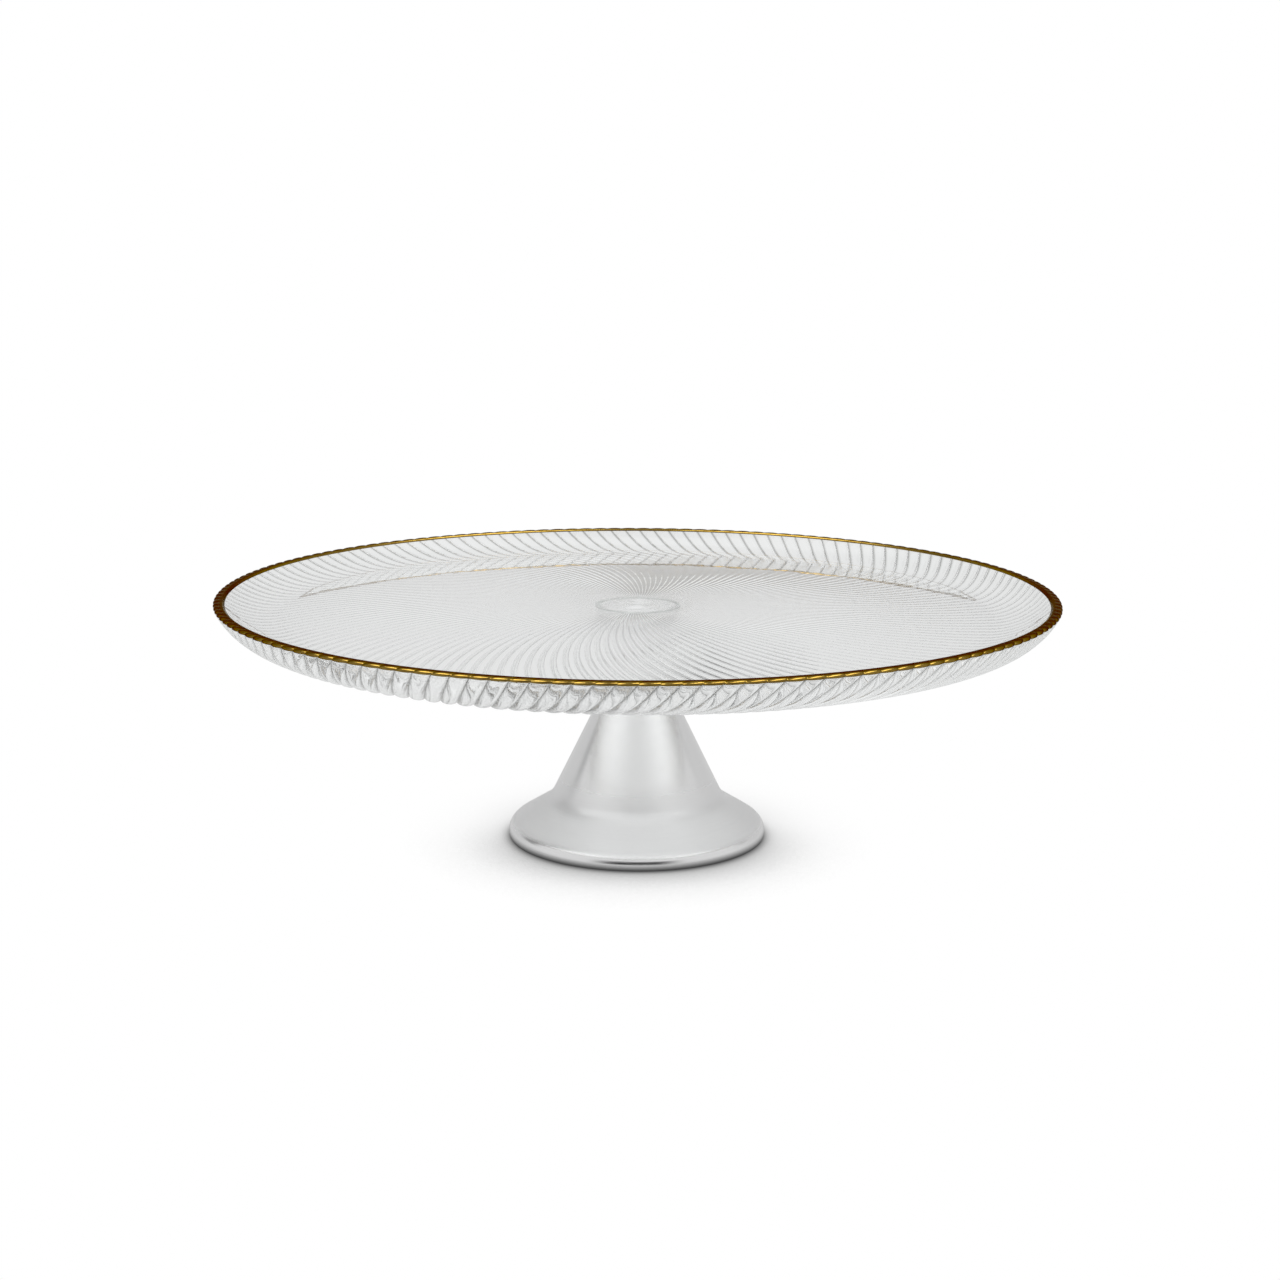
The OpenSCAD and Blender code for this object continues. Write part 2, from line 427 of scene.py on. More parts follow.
def plated_steel(graph):
    """Bright zinc plating with a faint crystalline mottle; the top of the screw's
    head is given painted light, an emission standing in for the light that the glass scatters onto
    it."""
    looks = bpy.context.scene.stand_finishes
    vector, _, _, z = graph.place()
    mottle = graph.noise(vector, 700, 4.0)
    dull = graph.noise(vector, 180, 2.0).step(0.35, 0.7)
    graph.finish({
        "Base Color": graph.blend(mottle, tuple(looks.plated), (0.70, 0.71, 0.73)),
        "Metallic": 0.5,
        # Painted light: only the top of the screw's head emits
        "Emission Color": graph.blend(z.step(SCREW_BOX[1].z - 2 * MM, SCREW_BOX[1].z - MM),
                                      (0.0, 0.0, 0.0), (1.0, 1.0, 1.0)),
        "Emission Strength": looks.painted_glow * HEAD_PAINTED_GLOW,
        "Roughness": 0.20 + dull * 0.14 + mottle * 0.05,
        "Normal": graph.bump(mottle, 0.15, 0.00006),
    })


def spring_steel(graph):
    """Dark oiled steel, scratched bright in places."""
    looks = bpy.context.scene.stand_finishes
    vector, *_ = graph.place()
    worn = graph.noise(vector, 900, 5.0).step(0.52, 0.72)
    graph.finish({
        "Base Color": graph.blend(worn, tuple(looks.spring), (0.34, 0.33, 0.33)),
        "Metallic": 1.0,
        "Roughness": 0.42 - worn * 0.14,
        "Normal": graph.bump(worn, 0.2, 0.00005),
    })


def clear_adhesive(graph):
    """Cured adhesive: nearly clear, with tiny bubbles and an uneven skin."""
    looks = bpy.context.scene.stand_finishes
    vector, *_ = graph.place()
    bubbles = graph.noise(vector, 1500, 2.0).step(0.62, 0.72)
    graph.finish({
        "Base Color": graph.blend(bubbles, tuple(looks.bond), (0.98, 0.98, 0.98)),
        "Roughness": 0.12 + bubbles * 0.25,
        "IOR": 1.49,
        "Transmission Weight": 0.85,
        "Normal": graph.bump(bubbles, 0.2, 0.0001),
    })


# ------------------------------------------------------------- mesh making

def grid_mesh(name, points, wrap=False, first_pole=None, last_pole=None, caps=False):
    """A smooth closed mesh over a grid of points, rows by columns by 3. Columns
    go anticlockwise about +Z and close on themselves; rows close on themselves
    with wrap, end in a single point with a pole, or in a flat end with caps.
    Faces point outwards when the rows go out over the top and in underneath."""
    rows, cols, _ = points.shape
    row = np.arange(rows if wrap else rows - 1)[:, None]
    col = np.arange(cols)[None, :]
    here, after = row * cols, (row + 1) % rows * cols
    turn = (col + 1) % cols
    quads = np.stack([here + col, after + col, after + turn, here + turn], -1).reshape(-1, 4)
    flat = [points.reshape(-1, 3)]
    ring, ring_on = col[0], turn[0]
    last = (rows - 1) * cols
    polys = [quads]
    count = rows * cols
    if first_pole is not None:
        flat.append(np.asarray(first_pole, float)[None])
        polys.append(np.stack([np.full(cols, count), ring, ring_on], -1))
        count += 1
    if last_pole is not None:
        flat.append(np.asarray(last_pole, float)[None])
        polys.append(np.stack([last + ring, np.full(cols, count), last + ring_on], -1))
        count += 1
    if caps:
        polys += [ring[None, :], last + ring[None, ::-1]]
    co = np.concatenate(flat).astype(np.float32)
    loops = np.concatenate([p.ravel() for p in polys]).astype(np.int32)
    sizes = np.concatenate([np.full(len(p), p.shape[1]) for p in polys])
    starts = np.concatenate([[0], np.cumsum(sizes)[:-1]]).astype(np.int32)
    mesh = bpy.data.meshes.new(name)
    mesh.vertices.add(len(co))
    mesh.vertices.foreach_set("co", co.ravel())
    mesh.loops.add(len(loops))
    mesh.loops.foreach_set("vertex_index", loops)
    mesh.polygons.add(len(starts))
    mesh.polygons.foreach_set("loop_start", starts)
    mesh.update(calc_edges=True)
    mesh.validate()
    mesh.shade_smooth()
    return mesh


def piece(mesh, look, slot_name, *cad_nodes):
    """The finished object: its material, the CAD nodes it stands for, its body."""
    made = bpy.data.objects.new(mesh.name, mesh)
    bpy.context.scene.collection.objects.link(made)
    mesh.materials.append(look)
    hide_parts(*cad_nodes)
    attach(made, "root")
    return made


def line(a, b, count, ends=True):
    """Evenly spaced points from a to b."""
    t = np.linspace(0, 1, count, endpoint=ends)[:, None]
    return np.asarray(a) * (1 - t) + np.asarray(b) * t


def around(centre, radius, start, end, t):
    """Points of a circle's arc at the shares t of the way from start to end."""
    turn = start + (end - start) * t
    return np.asarray(centre) + radius * np.stack([np.cos(turn), np.sin(turn)], -1)


def arc(centre, radius, start, end, count):
    """Evenly spaced points of a circle's arc; angles in radians."""
    return around(centre, radius, start, end, np.linspace(0, 1, count))


def bearing(a, b):
    """Angle of the way from a to b."""
    return math.atan2(b[1] - a[1], b[0] - a[0])


def touch(p, c, r, side):
    """Where a line from p touches the circle of radius r about c."""
    way = np.subtract(c, p)
    reach = np.hypot(*way)
    ahead = math.atan2(way[1], way[0]) + side * math.asin(r / reach)
    return np.asarray(p) + math.sqrt(reach * reach - r * r) * np.array(
        [math.cos(ahead), math.sin(ahead)])


def joined(*runs):
    """One run of points from several, without the points they share."""
    points = np.concatenate(runs)
    gaps = np.hypot(*np.diff(points, axis=0).T)
    return points[np.concatenate([[True], gaps > 1e-7])]


def turned(r, a, z):
    """Points at radius r, angle a and height z: x = r cos a, y = r sin a."""
    return np.stack(np.broadcast_arrays(r * np.cos(a), r * np.sin(a), z), -1)


def lathe(profile, columns):
    """Revolves a profile of (radius, height) points."""
    a = np.linspace(0, 2 * math.pi, columns, endpoint=False)
    return turned(profile[:, :1], a, profile[:, 1:])


def rounded(corners, radius, count=5):
    """A closed run of points round a polygon whose corners are rounded: each
    corner becomes a curve that starts and ends radius away from it."""
    corners = np.asarray(corners, float)
    before, after = np.roll(corners, 1, 0), np.roll(corners, -1, 0)

    def toward(other):
        way = other - corners
        far = np.hypot(*way.T)[:, None]
        return corners + way / far * np.minimum(radius, far * 0.45)

    a, b = toward(before)[:, None], toward(after)[:, None]
    t = np.linspace(0, 1, count)[None, :, None]
    bend = (1 - t) ** 2 * a + 2 * t * (1 - t) * corners[:, None] + t ** 2 * b
    return bend.reshape(-1, 2)


# ------------------------------------------------------------ glass and gold

# Places across a rib, from one of its valleys (0) to the next (1)
RIB_STEPS = np.array([0.0, 0.05, 0.16, 0.36, 0.64, 0.84, 0.95])
# Share of a rib that the painted dark line (painted shade) takes up on either side of a valley
LINE_WIDTH = 0.10


def plate_path():
    """The plate's section as points of (radius, height) from the middle of the
    floor out over the rim and back underneath, with a rib depth and a swirl for
    each. Arcs and straight runs touch each other, and the start of the falling
    floor is a soft bend: height = start - slope * blend * log(1 + e^(x/blend))."""
    size = bpy.context.scene.stand_plate
    film = bpy.context.scene.stand_rim.film
    top, outer = GOLD_BOX[1].z - film, GOLD_BOX[1].x - film
    floor_z = GOLD_BOX[1].z - size.floor_depth
    under_z = floor_z - size.floor_t
    out_c = np.array([outer - size.round_out, top - size.round_out])
    in_c = np.array([out_c[0] - size.rim_land, top - size.round_in])
    wall_z = top + size.wall_rise
    wall_c = np.array([out_c[0] - math.sqrt((size.wall_r - size.round_out) ** 2
                                            - (wall_z - out_c[1]) ** 2), wall_z])
    fall = size.floor_fall
    start = np.array([size.level_r, floor_z])
    way, up = np.array([math.cos(fall), -math.sin(fall)]), np.array([math.sin(fall), math.cos(fall)])
    off = start + size.cove_r * up - in_c
    along = off @ way
    run = -along - math.sqrt(along ** 2 - off @ off + (size.cove_r + size.round_in) ** 2)
    floor_end = start + run * way
    cove_c = floor_end + size.cove_r * up
    heel = touch([size.level_r, under_z], wall_c, size.wall_r, -1)
    lean = (under_z - heel[1]) / (heel[0] - size.level_r)

    def bent(r, height, slope):
        blend = size.level_blend
        return height - slope * blend * np.log1p(np.exp((r - size.level_r) / blend))

    r_floor = np.array([20, 45, 62, 70, 76, 82, 88, 95, 105, 118, 130]) * MM
    floor = np.stack([r_floor, bent(r_floor, floor_z, math.tan(fall))], -1)
    t = 1 - np.linspace(1, 0, 13) ** 1.28
    cove = around(cove_c, size.cove_r, bearing(cove_c, floor_end), bearing(cove_c, in_c), t)
    inner = arc(in_c, size.round_in, bearing(in_c, cove_c), math.pi / 2, 4)
    outer_arc = arc(out_c, size.round_out, math.pi / 2, bearing(wall_c, out_c), 6)
    land = line(inner[-1], outer_arc[0], 5)
    wall = around(wall_c, size.wall_r, bearing(wall_c, out_c), bearing(wall_c, heel),
                  np.linspace(0, 1, 24) ** 1.4)
    r_under = np.linspace(heel[0], size.pad_r, 28)[1:]
    under = np.stack([r_under, bent(r_under, under_z, lean)], -1)
    return dict(floor=floor, cove=cove, inner=inner, land=land, outer=outer_arc, wall=wall,
                under=under, floor_z=floor_z, under_z=under_z)


def normals_of(path):
    """Outward normals of a section that goes out over the top: the way along it
    turned a quarter left."""
    way = np.gradient(path, axis=0)
    way /= np.hypot(*way.T)[:, None]
    return np.stack([-way[:, 1], way[:, 0]], -1)


def ribbed(path, normals, depth, turn):
    """Points over a section carried round the axis with ribs on it. Column j of
    rib k stands at angle turn + 2 pi (k + t_j) / ribs; a rib's crest is on the
    section, and the surface drops from it by depth * |2t - 1|^3 along the
    normal, so that ribs are rounded and meet in sharp valleys."""
    ribs = bpy.context.scene.stand_plate.ribs
    t = np.tile(RIB_STEPS, ribs)
    a = turn[:, None] + 2 * math.pi * (np.repeat(np.arange(ribs), len(RIB_STEPS)) + t) / ribs
    drop = depth[:, None] * np.abs(2 * t - 1) ** 3
    r = path[:, :1] - normals[:, :1] * drop
    z = path[:, 1:] - normals[:, 1:] * drop
    return turned(r, a, z)


def rib_plan(path, smooth_rows):
    """Swirl at each point of the plate's section. It adds up, point by point and
    from the middle outwards, the tangent of the ribs' lean over the radius; the
    smooth inner face keeps the rim's angle."""
    size = bpy.context.scene.stand_plate
    r = path[:, 0]
    steps = np.hypot(*np.diff(path, axis=0).T)
    travelled = np.concatenate([[0], np.cumsum(steps[::-1])])[::-1] + size.pad_r
    lean = np.minimum(travelled * (size.swirl_middle + size.swirl_growth * travelled ** 2),
                      math.tan(size.swirl_most))
    rate = lean / r
    mid = (rate[1:] + rate[:-1]) / 2 * steps
    turn = np.concatenate([np.cumsum(mid[::-1])[::-1], [0]])
    turn[:smooth_rows] = turn[smooth_rows]
    return turn


def plate_and_rim_rows():
    """The whole section with normals, rib depths and swirl, the rows at which
    its parts start, and the parts. Depth grows with the radius underneath and
    fades over the rim and round the pad."""
    size = bpy.context.scene.stand_plate
    parts = plate_path()
    runs, starts, count = [], {}, 0
    for name in ("floor", "cove", "inner", "land", "outer", "wall", "under"):
        # Those from the inner edge to the wall start where the one before ends
        shared = name in ("inner", "land", "outer", "wall")
        starts[name] = count
        runs.append(parts[name][1:] if shared else parts[name])
        count += len(runs[-1])
    path = np.concatenate(runs)
    normals = normals_of(path)
    depth = np.zeros(count)
    land, outer, wall, under = (starts[k] for k in ("land", "outer", "wall", "under"))
    depth[land:outer] = np.linspace(0.06, 0.45, outer - land) * size.rim_depth
    depth[outer:wall] = np.linspace(0.5, 1.0, wall - outer) * size.rim_depth
    fade = np.linspace(0, 1, under - wall)
    depth[wall:under] = size.rim_depth + (size.rib_depth - size.rim_depth) * np.minimum(fade * 2.2, 1)
    depth[under:] = size.rib_depth * path[under:, 0] / path[under, 0]
    last = np.clip((path[under:, 0] - size.pad_r) / (6 * MM), 0, 1)
    depth[under:] *= last * last * (3 - 2 * last)
    turn = rib_plan(path, land)
    return path, normals, depth, turn, starts, parts


class STAND_OT_glass_plate(bpy.types.Operator):
    """Pressed glass plate: smooth above, swirling ribs on its wall and underside"""
    bl_idname = "stand.glass_plate"
    bl_label = "Glass plate"

    def execute(self, context):
        path, normals, depth, turn, starts, parts = plate_and_rim_rows()
        points = ribbed(path, normals, depth, turn)
        mesh = grid_mesh("ribbed_plate", points, first_pole=(0, 0, parts["floor_z"]),
                         last_pole=(0, 0, parts["under_z"]))
        # Painted shade: dark lines painted into the glass where two ribs meet, standing in
        # for the dark that refraction makes there: full on the wall, fainter towards the
        # middle underneath, and none on the smooth side
        near = np.clip(1 - np.minimum(RIB_STEPS, 1 - RIB_STEPS) / LINE_WIDTH, 0, 1)
        level = np.zeros(len(path))
        level[starts["outer"]:starts["under"]] = 1
        level[starts["under"]:] = np.linspace(0.7, 0.1, len(path) - starts["under"])
        valley = level[:, None] * np.tile(near, context.scene.stand_plate.ribs)
        layer = mesh.attributes.new("valley", "FLOAT", "POINT")
        layer.data.foreach_set("value", np.append(valley.ravel(), [0, 0]).astype(np.float32))
        piece(mesh, material("clear_glass", clear_glass), "clear_glass", "glass_plate")
        return {"FINISHED"}


class STAND_OT_gold_rim(bpy.types.Operator):
    """Gold fired onto the scalloped rim, thinning out at its two edges"""
    bl_idname = "stand.gold_rim"
    bl_label = "Gold rim"

    def execute(self, context):
        size = context.scene.stand_rim
        path, normals, depth, turn, starts, _ = plate_and_rim_rows()
        rows = np.arange(starts["inner"] - 2, starts["wall"] - 1)
        path, normals = path[rows], normals[rows]
        depth, turn = depth[rows], turn[rows]
        film = size.film * np.sin(np.linspace(0.12, math.pi - 0.12, len(rows))) ** 0.35
        over = ribbed(path + normals * film[:, None], normals, depth, turn)
        under = ribbed(path + normals * size.film * 0.05, normals, depth, turn)
        mesh = grid_mesh("gilded_rim", np.concatenate([over, under[::-1]]), wrap=True)
        piece(mesh, material("fired_gold", fired_gold), "fired_gold", "gold_rim")
        return {"FINISHED"}


# -------------------------------------------------------------------- metal

def foot_outline(inset, top, columns=24):
    """The foot's skin moved inwards by inset, from its top down to the table:
    waist arc, cone, fillet arc, skirt and edge arc, each touching the next."""
    size = bpy.context.scene.stand_foot
    edge_c = np.array([FOOT_BOX[1].x - size.edge_r, size.edge_z])
    skirt = np.array([math.sin(size.skirt), math.cos(size.skirt)])
    skirt_top = edge_c + size.edge_r * skirt
    corner = np.array([size.corner_r,
                       skirt_top[1] + (skirt_top[0] - size.corner_r) * math.tan(size.skirt)])
    waist_c = np.array([size.waist_r + size.waist_curve, FOOT_BOX[1].z - size.waist_drop])
    cone = waist_c - touch(corner, waist_c, size.waist_curve, 1)
    cone /= np.hypot(*cone)
    flare_c = corner + size.flare_r * (cone + skirt) / (1 + cone @ skirt)
    edge, flare, waist = size.edge_r - inset, size.flare_r + inset, size.waist_curve + inset
    neck = math.atan2(top - waist_c[1], -math.sqrt(waist ** 2 - (top - waist_c[1]) ** 2))
    cone_way, skirt_way = math.atan2(cone[1], cone[0]), math.atan2(skirt[1], skirt[0])
    low = -math.asin(size.edge_z / edge)
    waist_run = arc(waist_c, waist, neck, cone_way + math.pi, columns)
    flare_run = arc(flare_c, flare, cone_way + math.pi, skirt_way + math.pi, columns // 2)
    edge_run = arc(edge_c, edge, skirt_way, low, columns // 2)
    return joined(waist_run, line(waist_run[-1], flare_run[0], columns)[1:-1], flare_run,
                  line(flare_run[-1], edge_run[0], columns // 3)[1:-1], edge_run)


class STAND_OT_foot(bpy.types.Operator):
    """Spun trumpet foot, closed on top but for the screw's hole"""
    bl_idname = "stand.foot"
    bl_label = "Foot"

    def execute(self, context):
        size = context.scene.stand_foot
        top = FOOT_BOX[1].z
        ceiling = top - size.top_t
        outside = foot_outline(0, top)
        inside = foot_outline(size.wall, ceiling)[::-1]
        ease = 0.35 * MM
        deck = line([size.hole_r + ease, top], [outside[0, 0] - ease, top], 8)
        under = line([inside[-1, 0], ceiling], [size.hole_r + ease, ceiling], 6)
        bore = line([size.hole_r, ceiling + ease], [size.hole_r, top - ease], 4)
        shoulder = arc([outside[0, 0] - ease, top - ease], ease, math.pi / 2, 0.35, 5)
        outside = outside[outside[:, 1] < top - ease * 0.8]
        profile = joined(deck, shoulder, outside, inside, under, bore)
        mesh = grid_mesh("spun_foot", lathe(profile, 256), wrap=True)
        piece(mesh, material("satin_metal", satin_metal), "satin_metal", "foot_shell")
        return {"FINISHED"}


class STAND_OT_cup(bpy.types.Operator):
    """Mounting cup and the adhesive ring that holds the glass on it"""
    bl_idname = "stand.cup"
    bl_label = "Mounting cup and adhesive"

    def execute(self, context):
        size = context.scene.stand_fixing
        low, high, outer = CUP_BOX[0].z, CUP_BOX[1].z, CUP_BOX[1].x
        deck, inner = low + size.cup_t, outer - size.cup_t
        shape = [[size.hole_r, deck], [inner, deck], [inner, high], [outer, high],
                 [outer, low], [size.hole_r, low]]
        profile = rounded(shape, 0.45 * MM, 6)
        mesh = grid_mesh("mounting_dish", lathe(profile, 160), wrap=True)
        piece(mesh, material("bright_metal", bright_metal), "satin_metal", "mounting_cup")
        base, lid, rim = BOND_BOX[0].z, BOND_BOX[1].z, BOND_BOX[1].x
        sag = (lid - base) * 0.3
        ring = [[rim - size.bond_w, base], [rim - size.bond_w + sag, (base + lid) / 2],
                [rim - size.bond_w, lid], [rim, lid], [rim - sag, (base + lid) / 2], [rim, base]]
        mesh = grid_mesh("adhesive_bead", lathe(rounded(ring, 0.2 * MM, 4), 160), wrap=True)
        piece(mesh, material("clear_adhesive", clear_adhesive), "clear_adhesive", "bond_ring")
        return {"FINISHED"}


class STAND_OT_screw(bpy.types.Operator):
    """Low-headed screw with a cut thread"""
    bl_idname = "stand.screw"
    bl_label = "Captive screw"

    def execute(self, context):
        size = context.scene.stand_fixing
        tail, top, head_r = SCREW_BOX[0].z, SCREW_BOX[1].z, SCREW_BOX[1].x
        under = top - size.head_t
        a = np.linspace(0, 2 * math.pi, 72, endpoint=False)[None, :]
        head = joined(line([head_r * 0.15, top], [head_r * 0.80, top - 0.05 * MM], 6),
                      arc([head_r * 0.80, top - 0.65 * MM], 0.6 * MM, math.pi / 2, 0.7, 5),
                      arc([head_r - 0.3 * MM, under + 0.35 * MM], 0.3 * MM, 0.9, -math.pi / 2, 6),
                      line([head_r * 0.9, under], [size.screw_r * 1.02, under], 5))
        z = np.linspace(under - 0.1 * MM, tail, 170)[:, None]
        # Thread: a rounded triangle wave of (height / pitch - angle / turn)
        phase = (z / size.thread_pitch + a / (2 * math.pi)) % 1.0
        groove = np.clip(1.15 - 2.3 * np.abs(phase - 0.5), 0, 1)
        ends = np.clip((under - 1.5 * MM - z) / MM, 0, 1) * np.clip((z - tail) / MM, 0, 1)
        lead = 0.75 * MM * np.clip(1 - (z - tail) / (0.8 * MM), 0, 1)
        r = size.screw_r - size.thread_depth * (1 - groove) * ends - lead
        points = np.concatenate([lathe(head, 72), turned(r, a, z)])
        mesh = grid_mesh("threaded_screw", points, first_pole=(0, 0, top), last_pole=(0, 0, tail))
        piece(mesh, material("plated_steel", plated_steel), "plated_steel", "captive_screw")
        return {"FINISHED"}


class STAND_OT_washers(bpy.types.Operator):
    """Wide flat washer and split spring washer"""
    bl_idname = "stand.washers"
    bl_label = "Washers"

    def execute(self, context):
        size = context.scene.stand_fixing
        low, high = WASHER_BOX
        shape = [[size.hole_r, low.z], [size.hole_r, high.z], [high.x, high.z], [high.x, low.z]]
        mesh = grid_mesh("flat_washer", lathe(rounded(shape, 0.25 * MM), 128), wrap=True)
        piece(mesh, bpy.data.materials["plated_steel"], "plated_steel", "wide_washer")
        low, high = SPRING_BOX
        lift = 0.12 * MM
        shape = np.array([[size.hole_r, low.z], [high.x, low.z + lift], [high.x, high.z - 2 * lift],
                          [size.hole_r, high.z - lift]])
        section = rounded(shape[::-1], 0.2 * MM, 4)
        # The coil: the section turned about the axis and raised evenly as it goes
        gap = size.spring_gap / 2 / high.x
        a = np.linspace(gap, 2 * math.pi - gap, 96)[:, None]
        r, z = section[None, :, 0], section[None, :, 1]
        points = turned(r, a, z + lift * a / (2 * math.pi))
        mesh = grid_mesh("split_washer", points[:, ::-1], caps=True)
        piece(mesh, material("spring_steel", spring_steel), "spring_steel", "spring_washer")
        return {"FINISHED"}


class STAND_OT_nut(bpy.types.Operator):
    """Six-sided nut with chamfered corners"""
    bl_idname = "stand.nut"
    bl_label = "Nut"

    def execute(self, context):
        size = context.scene.stand_fixing
        low, high = NUT_BOX[0].z, NUT_BOX[1].z
        corner = size.nut_flats / math.sqrt(3)
        # Side: distance to the flat over the cosine of the angle from its middle,
        # cut back by a cone at either end
        a = np.linspace(0, 2 * math.pi, 192, endpoint=False)[None, :]
        hexagon = size.nut_flats / 2 / np.cos((a + math.pi / 6) % (math.pi / 3) - math.pi / 6)
        z = np.concatenate([np.linspace(high, high - 0.9 * MM, 8),
                            np.linspace(low + 0.9 * MM, low, 8)])[:, None]
        from_end = np.minimum(high - z, z - low)
        cone = corner - 0.75 * MM + from_end * math.sqrt(3)
        body = turned(np.minimum(hexagon, cone), a, z)
        bore, bevel = size.screw_r * 1.005, 0.4 * MM
        face_r = size.nut_flats / 2 * 0.93
        face = turned(np.array([bore, bore, bore + bevel, face_r])[:, None], a,
                      np.array([low + bevel, high - bevel, high, high])[:, None])
        base = turned(np.array([face_r, bore + bevel])[:, None], a, low)
        mesh = grid_mesh("chamfered_nut", np.concatenate([face, body, base]), wrap=True)
        mesh.set_sharp_from_angle(angle=math.radians(24))
        piece(mesh, bpy.data.materials["plated_steel"], "plated_steel", "hex_nut")
        return {"FINISHED"}


# -------------------------------------------------------------------- stage

# Level of the studio's walls, as the glass shows them, by bearing in degrees: 0
# behind the camera and rising to the right. A soft box on either side with a
# dimmer gap between them, a dark flag far left and a fainter one far right
WALLS = ((-180, 0.90), (-158, 0.92), (-131, 0.86), (-121, 0.06), (-109, 0.04), (-100, 1.02),
         (-88, 1.24), (-58, 1.26), (-40, 1.14), (-24, 0.90), (0, 0.84), (22, 0.88), (38, 1.10),
         (58, 1.24), (84, 1.10), (104, 0.66), (117, 0.46), (131, 0.88), (158, 0.92), (180, 0.90))
# Dark flags that polished surfaces mirror: bearings in radians at which each one
# begins, is full, starts to fade and ends, then its depth
FLAGS = ((-2.28, -2.10, -1.92, -1.75, 0.8), (1.80, 1.98, 2.00, 2.14, 0.3))


def studio(graph):
    """Soft studio round the stand. Mirrored: a dim room with two dark flags and a
    dark gap where the camera stands, strong lamps high on both sides of it and
    a dim roof. Seen through the glass: an even pale grey low down, walls above
    it whose level follows the bearing, and two pale lobes high up. Plain white
    where nothing is in the way."""
    look = bpy.context.scene.stand_stage
    way = graph.add("ShaderNodeTexCoord").outputs["Generated"]
    parts = graph.add("ShaderNodeSeparateXYZ", inputs={"Vector": way})
    x, y, z = (Wave(graph, out) for out in parts.outputs)
    side = x.turn_from(y * -1.0)
    turn = side.size()
    dim = look.behind + (1 - turn.step(1.5, 2.3)) * (look.ahead - look.behind)
    left, right = (side.band(*edges) * depth for *edges, depth in FLAGS)
    dim = dim * (1 - (left + right) * z.step(0.22, 0.30) * look.flags)
    gap = (1 - turn.step(0.3, 0.8)) * (1 - z.step(0.30, 0.45))
    lamps = 1 + turn.band(0.2, 0.5, 1.8, 2.2) * (look.lamps - 1)
    roof = z.step(0.93, 0.97)
    high = z.step(0.72, 0.82)
    upper = lamps * (1 - roof) + roof * look.overhead
    mirrored = dim * (1 - gap * 0.96) * (1 - high) + upper * high
    walls = graph.ramp(side / (2 * math.pi) + 0.5,
                       [((bearing + 180) / 360, level) for bearing, level in WALLS])
    ring = z.band(0.15, 0.32, 0.72, 0.90)
    lobes = z.step(0.74, 0.86) * x.size().band(0.04, 0.24, 0.26, 0.46)
    beyond = look.surround * (1 - ring) + walls * ring + lobes * look.skylight
    path = graph.add("ShaderNodeLightPath").outputs
    through = Wave(graph, path["Is Transmission Ray"])
    strength = through * beyond + (1 - through) * mirrored
    lit = graph.add("ShaderNodeBackground", inputs={"Color": WHITE, "Strength": strength})
    plain = graph.add("ShaderNodeBackground", inputs={"Color": WHITE, "Strength": 1.0})
    mix = graph.add("ShaderNodeMixShader",
                    inputs={0: path["Is Camera Ray"], 1: lit.outputs[0], 2: plain.outputs[0]})
    graph.add("ShaderNodeOutputWorld", inputs={"Surface": mix.outputs[0]})


def pale_floor(graph):
    """Plain white floor with a small soft contact shadow, deepest in front: its
    brightness is 0.9 * (share of open sky within reach) ^ depth + 0.1. Metal
    mirrors it dimmer. Through the glass it is the studio's even grey, with dark
    flags along both sides that help to draw the ribs."""
    look = bpy.context.scene.stand_stage
    _, across, along, _ = graph.place()
    front = 1 - along.step(-0.055, 0.02)
    sky = graph.add("ShaderNodeAmbientOcclusion", {"samples": 16},
                    {"Distance": look.shadow_reach})
    depth = look.shadow_depth * (front * 0.75 + 0.25)
    open_sky = Wave(graph, sky.outputs["AO"]) ** depth * 0.9 + 0.1
    flags = across.size().step(0.34, 0.48) * look.flags
    path = graph.add("ShaderNodeLightPath").outputs
    seen, through = (Wave(graph, path[kind]) for kind in ("Is Camera Ray", "Is Transmission Ray"))
    level = (open_sky * (seen + (1 - seen) * (1 - through) * look.ground)
             + through * look.surround * (1 - flags))
    shade = graph.add("ShaderNodeEmission", inputs={"Color": WHITE, "Strength": level})
    graph.add("ShaderNodeOutputMaterial", inputs={"Surface": shade.outputs[0]})


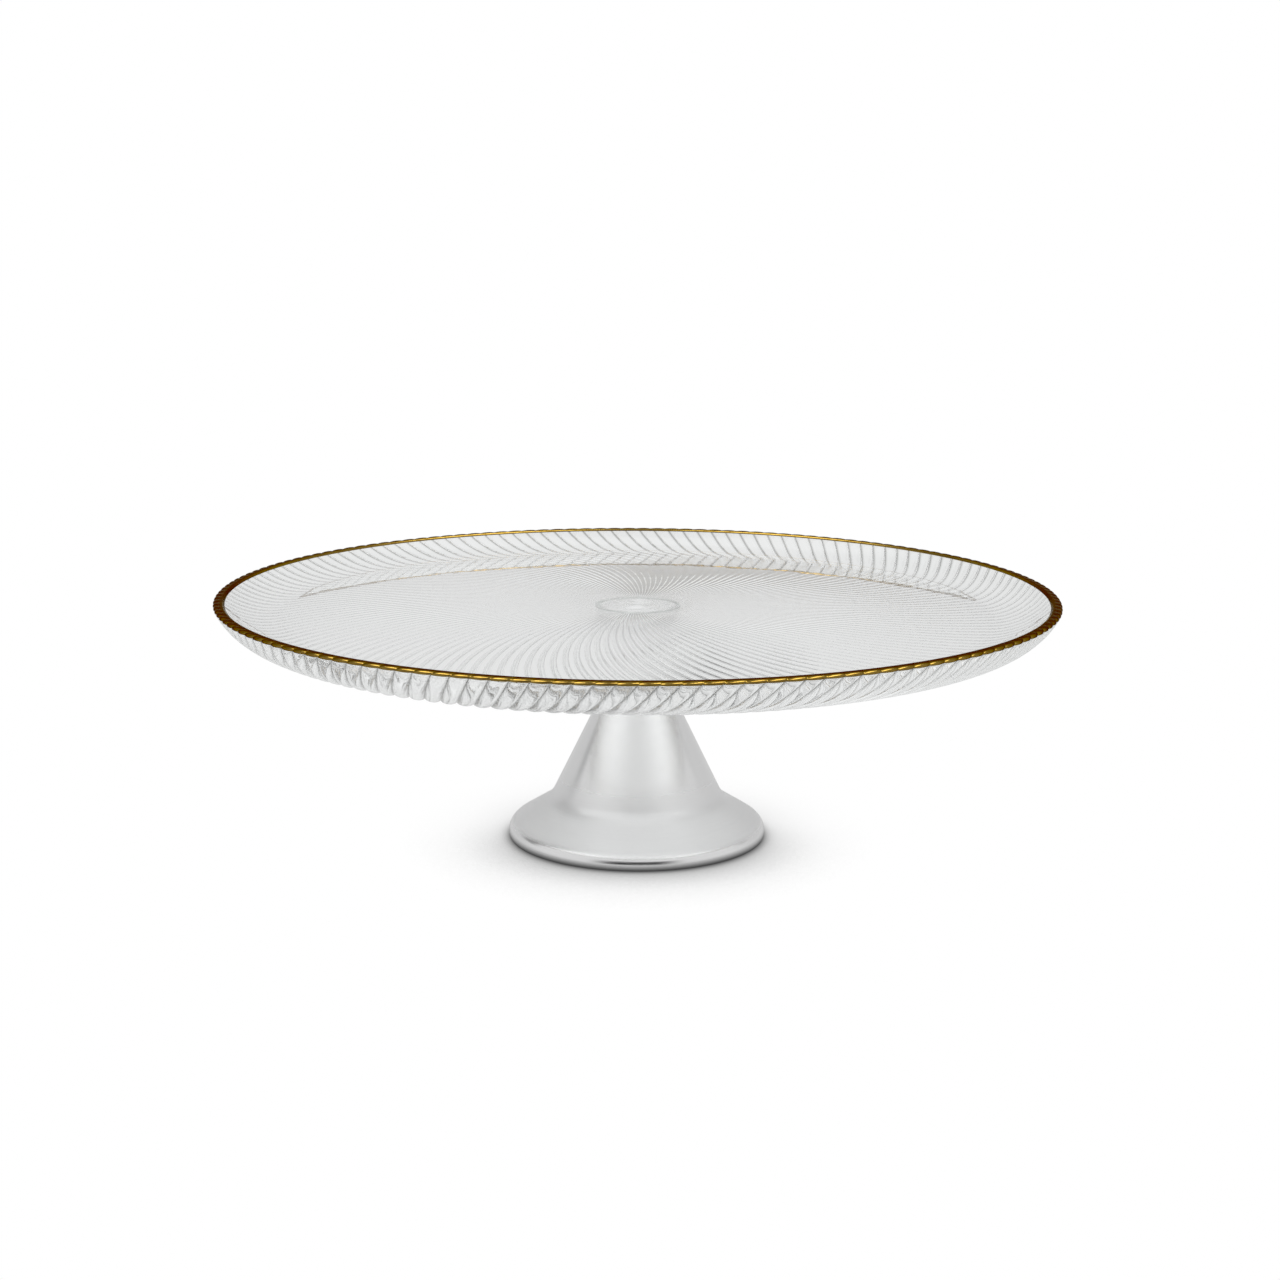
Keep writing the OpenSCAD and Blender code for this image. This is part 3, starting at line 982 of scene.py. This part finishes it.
class STAND_OT_stage(bpy.types.Operator):
    """Floor, studio light and camera"""
    bl_idname = "stand.stage"
    bl_label = "Stage"

    def execute(self, context):
        look = context.scene.stand_stage
        reach = 6.0
        floor = bpy.data.meshes.new("floor")
        floor.from_pydata([(-reach, -reach, 0), (reach, -reach, 0), (reach, reach, 0),
                           (-reach, reach, 0)], [], [(0, 1, 2, 3)])
        floor.materials.append(material("pale_floor", pale_floor))
        ground = bpy.data.objects.new("floor", floor)
        context.scene.collection.objects.link(ground)
        context.scene.world = bpy.data.worlds.new("studio")
        studio(Graph(context.scene.world))
        context.scene.view_settings.view_transform = "Standard"
        light = context.scene.cycles
        light.max_bounces = light.transmission_bounces = light.glossy_bounces = look.bounces
        data = bpy.data.cameras.new("camera")
        data.lens = look.lens
        data.sensor_width = 36.0
        data.clip_start = 0.01
        camera = bpy.data.objects.new("camera", data)
        context.scene.collection.objects.link(camera)
        rim = Vector((0, 0, cad_box[1].z))
        rise = look.camera_rise
        away = Vector((0, -math.cos(rise), math.sin(rise))) * look.camera_away
        turn = (Matrix.Rotation(-look.aim_right, 4, "Z")
                @ Matrix.Rotation(math.pi / 2 - rise - look.aim_down, 4, "X")
                @ Matrix.Rotation(look.camera_roll, 4, "Z"))
        camera.matrix_world = Matrix.Translation(rim + away) @ turn
        context.scene.camera = camera
        return {"FINISHED"}


class STAND_PT_panel(bpy.types.Panel):
    """Lists the stand's pieces and settings"""
    bl_idname = "STAND_PT_panel"
    bl_label = "Cake Stand"
    bl_space_type = "VIEW_3D"
    bl_region_type = "UI"
    bl_category = "Cake Stand"

    def draw(self, context):
        for step in STEPS:
            self.layout.operator(step.bl_idname)
        for name in GROUPS:
            box = self.layout.box()
            group = getattr(context.scene, name)
            for prop in group.bl_rna.properties:
                if prop.identifier not in ("rna_type", "name"):
                    box.prop(group, prop.identifier)


GROUPS = {"stand_plate": PlateSizes, "stand_rim": RimSizes, "stand_foot": FootSizes,
          "stand_fixing": FixingSizes, "stand_finishes": Finishes, "stand_stage": StageLook}
STEPS = (STAND_OT_glass_plate, STAND_OT_gold_rim, STAND_OT_foot, STAND_OT_cup,
         STAND_OT_screw, STAND_OT_washers, STAND_OT_nut, STAND_OT_stage)


def register():
    """Adds the settings, operators and panel."""
    for item in (*GROUPS.values(), *STEPS, STAND_PT_panel):
        bpy.utils.register_class(item)
    for name, group in GROUPS.items():
        setattr(bpy.types.Scene, name, PointerProperty(type=group))


def unregister():
    """Takes them away again."""
    for name in GROUPS:
        delattr(bpy.types.Scene, name)
    for item in reversed((*GROUPS.values(), *STEPS, STAND_PT_panel)):
        bpy.utils.unregister_class(item)


def main():
    """Builds every piece and the stage."""
    register()
    bpy.ops.stand.glass_plate()
    bpy.ops.stand.gold_rim()
    bpy.ops.stand.foot()
    bpy.ops.stand.cup()
    bpy.ops.stand.screw()
    bpy.ops.stand.washers()
    bpy.ops.stand.nut()
    bpy.ops.stand.stage()


if __name__ == "__main__":
    main()
